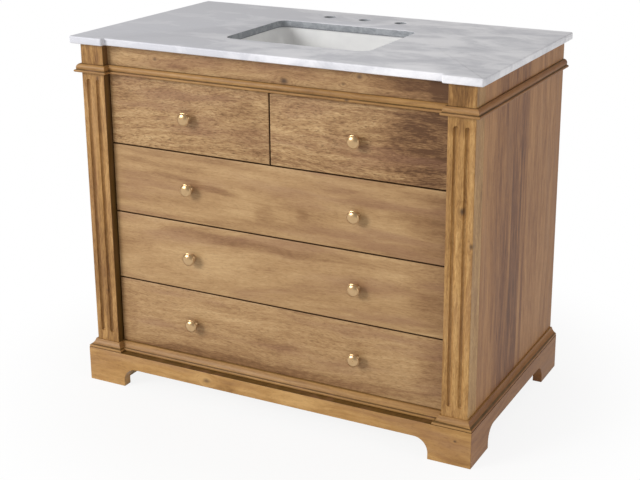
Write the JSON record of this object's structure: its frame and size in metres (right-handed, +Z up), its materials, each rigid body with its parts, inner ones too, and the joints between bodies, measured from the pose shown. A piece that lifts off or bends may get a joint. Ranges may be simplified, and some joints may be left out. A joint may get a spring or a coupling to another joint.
{
  "type": "bathroom vanity unit",
  "caption": "Free-standing wooden bathroom vanity with a stone top, undermount basin, fluted pilasters, bracket-foot plinth and sliding drawers.",
  "frame": {"origin": "on the floor, under the centre of the bounding box", "axes": "+X to the right as seen from the front, +Y to the wall behind, +Z up"},
  "size_m": [1.067, 0.61, 0.902],
  "materials": {
    "hardwood": "satin lacquer over acacia",
    "drawer_wood": "clear sealed solid wood",
    "plywood": "clear sealed plywood",
    "marble": "honed and sealed",
    "vitreous_china": "white glaze",
    "brass": "satin",
    "slide_steel": "zinc plated"
  },
  "bodies": {
    "cabinet": {"marble_top": "marble", "sink_basin": "vitreous_china", "sink_clips": "slide_steel", "left_pilaster": "hardwood", "right_pilaster": "hardwood", "left_side_panel": "hardwood", "right_side_panel": "hardwood", "rear_posts": "hardwood", "frieze_rail": "hardwood", "cornice_left": "hardwood", "cornice_middle": "hardwood", "cornice_right": "hardwood", "base_moulding_left": "hardwood", "base_moulding_middle": "hardwood", "base_moulding_right": "hardwood", "plinth_front": "hardwood", "plinth_left": "hardwood", "plinth_right": "hardwood", "plinth_back": "hardwood", "foot_blocks": "drawer_wood", "plinth_cleats": "drawer_wood", "bottom_rail": "hardwood", "cabinet_floor": "plywood", "divider_rails": "hardwood", "basin_partitions": "plywood", "runner_rails": "drawer_wood", "back_panel": "plywood", "back_rails": "drawer_wood", "top_corner_blocks": "drawer_wood", "slide_cabinet_members": "slide_steel"},
    "top_left_drawer": {"top_left_drawer_front": "hardwood", "top_left_drawer_box": "drawer_wood", "top_left_drawer_base": "plywood", "top_left_drawer_knobs": "brass", "top_left_drawer_runners": "slide_steel"},
    "top_left_drawer_slide_links": {"top_left_drawer_links": "slide_steel"},
    "top_right_drawer": {"top_right_drawer_front": "hardwood", "top_right_drawer_box": "drawer_wood", "top_right_drawer_base": "plywood", "top_right_drawer_knobs": "brass", "top_right_drawer_runners": "slide_steel"},
    "top_right_drawer_slide_links": {"top_right_drawer_links": "slide_steel"},
    "second_drawer": {"second_drawer_front": "hardwood", "second_drawer_box": "drawer_wood", "second_drawer_base": "plywood", "second_drawer_knobs": "brass", "second_drawer_runners": "slide_steel"},
    "second_drawer_slide_links": {"second_drawer_links": "slide_steel"},
    "third_drawer": {"third_drawer_front": "hardwood", "third_drawer_box": "drawer_wood", "third_drawer_base": "plywood", "third_drawer_knobs": "brass", "third_drawer_runners": "slide_steel"},
    "third_drawer_slide_links": {"third_drawer_links": "slide_steel"},
    "bottom_drawer": {"bottom_drawer_front": "hardwood", "bottom_drawer_box": "drawer_wood", "bottom_drawer_base": "plywood", "bottom_drawer_knobs": "brass", "bottom_drawer_runners": "slide_steel"},
    "bottom_drawer_slide_links": {"bottom_drawer_links": "slide_steel"}
  },
  "joints": [
    {"name": "top_left_drawer_travel", "type": "slide", "parent": "cabinet", "child": "top_left_drawer", "axis": [0, -1, 0], "range_m": [0, 0.45]},
    {"name": "top_left_drawer_link_travel", "type": "slide", "parent": "cabinet", "child": "top_left_drawer_slide_links", "axis": [0, -1, 0], "range_m": [0, 0.225]},
    {"name": "top_right_drawer_travel", "type": "slide", "parent": "cabinet", "child": "top_right_drawer", "axis": [0, -1, 0], "range_m": [0, 0.45]},
    {"name": "top_right_drawer_link_travel", "type": "slide", "parent": "cabinet", "child": "top_right_drawer_slide_links", "axis": [0, -1, 0], "range_m": [0, 0.225]},
    {"name": "second_drawer_travel", "type": "slide", "parent": "cabinet", "child": "second_drawer", "axis": [0, -1, 0], "range_m": [0, 0.45]},
    {"name": "second_drawer_link_travel", "type": "slide", "parent": "cabinet", "child": "second_drawer_slide_links", "axis": [0, -1, 0], "range_m": [0, 0.225]},
    {"name": "third_drawer_travel", "type": "slide", "parent": "cabinet", "child": "third_drawer", "axis": [0, -1, 0], "range_m": [0, 0.45]},
    {"name": "third_drawer_link_travel", "type": "slide", "parent": "cabinet", "child": "third_drawer_slide_links", "axis": [0, -1, 0], "range_m": [0, 0.225]},
    {"name": "bottom_drawer_travel", "type": "slide", "parent": "cabinet", "child": "bottom_drawer", "axis": [0, -1, 0], "range_m": [0, 0.45]},
    {"name": "bottom_drawer_link_travel", "type": "slide", "parent": "cabinet", "child": "bottom_drawer_slide_links", "axis": [0, -1, 0], "range_m": [0, 0.225]}
  ],
  "couplings": [
    {"joint": "top_left_drawer_link_travel", "follows": "top_left_drawer_travel", "ratio": 0.5},
    {"joint": "top_right_drawer_link_travel", "follows": "top_right_drawer_travel", "ratio": 0.5},
    {"joint": "second_drawer_link_travel", "follows": "second_drawer_travel", "ratio": 0.5},
    {"joint": "third_drawer_link_travel", "follows": "third_drawer_travel", "ratio": 0.5},
    {"joint": "bottom_drawer_link_travel", "follows": "bottom_drawer_travel", "ratio": 0.5}
  ]
}
